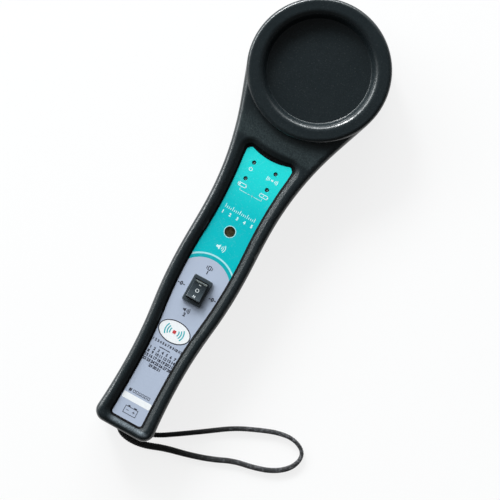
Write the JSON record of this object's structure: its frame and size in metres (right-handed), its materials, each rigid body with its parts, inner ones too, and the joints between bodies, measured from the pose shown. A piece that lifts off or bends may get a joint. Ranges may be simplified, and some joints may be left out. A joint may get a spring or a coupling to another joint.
{
  "type": "hand-held metal detector",
  "caption": "Paddle-shaped security metal detector wand: round coil head, waisted handle with printed panel, rocker switch, indicator lights, sounder hole, battery door and wrist strap.",
  "frame": {"origin": "middle of the case's box seen from above, on the plane that the rear face rests on; the strap isn't counted", "axes": "+Y along the handle from the strap end to the head, +Z out of the printed face, +X to the right when the head points away"},
  "size_m": [0.1835, 0.3628, 0.033],
  "materials": {
    "case_plastic": "black moulded plastic with a fine bead texture, satin",
    "label_print": "printed polycarbonate film, turquoise and pale lavender",
    "switch_plastic": "black moulded nylon, fine grain",
    "light_lens": "smoky diffused lens, unlit",
    "disc_brass": "rolled brass",
    "steel": "zinc plated",
    "board_green": "solder mask",
    "component_black": "moulded epoxy",
    "trimmer_blue": "moulded",
    "copper_wire": "enamelled copper wire",
    "former_white": "moulded",
    "battery_jacket": "printed metal jacket",
    "lead_red": "insulated lead",
    "lead_black": "insulated lead",
    "foam": "soft foam",
    "strap_cord": "braided cord"
  },
  "bodies": {
    "case": {"battery": "battery_jacket", "battery_lead_minus": "lead_black", "battery_lead_plus": "lead_red", "battery_low_light": "light_lens", "battery_snap": "component_black", "board_screws": "steel", "case_screws": "steel", "charge_socket": "component_black", "charging_light": "light_lens", "circuit_board": "board_green", "coil_former": "former_white", "coil_lead": "lead_black", "detector_chip": "component_black", "foam_pad": "foam", "front_cover": "case_plastic", "head_screws": "steel", "label_overlay": "label_print", "metal_light": "light_lens", "power_light": "light_lens", "rear_cover": "case_plastic", "search_coil": "copper_wire", "sensitivity_trimmer": "trimmer_blue", "smoothing_capacitor": "component_black", "sounder_case": "component_black", "sounder_disc": "disc_brass", "strap_knot": "strap_cord", "strap_loop": "strap_cord", "switch_housing": "switch_plastic", "switch_terminal_1": "disc_brass", "switch_terminal_2": "disc_brass", "switch_terminal_3": "disc_brass"},
    "rocker": {"switch_rocker": "switch_plastic", "switch_plunger": "former_white", "plunger_spring": "steel"},
    "contact": {"contact_blade": "disc_brass"},
    "door": {"battery_door": "case_plastic"}
  },
  "joints": [
    {"name": "rocker_tilt", "type": "hinge", "parent": "case", "child": "rocker", "pos_m": [0, -0.0603, 0.0258], "axis": [1, 0, 0], "range_deg": [-12, 12]},
    {"name": "contact_rock", "type": "hinge", "parent": "case", "child": "contact", "pos_m": [0, -0.0603, 0.0159], "axis": [1, 0, 0], "range_deg": [-10, 10]},
    {"name": "battery_door_swing", "type": "hinge", "parent": "case", "child": "door", "pos_m": [0, -0.1632, 0], "axis": [-1, 0, 0], "range_deg": [0, 75]}
  ],
  "couplings": [
    {"joint": "contact_rock", "follows": "rocker_tilt", "ratio": -0.8333}
  ]
}
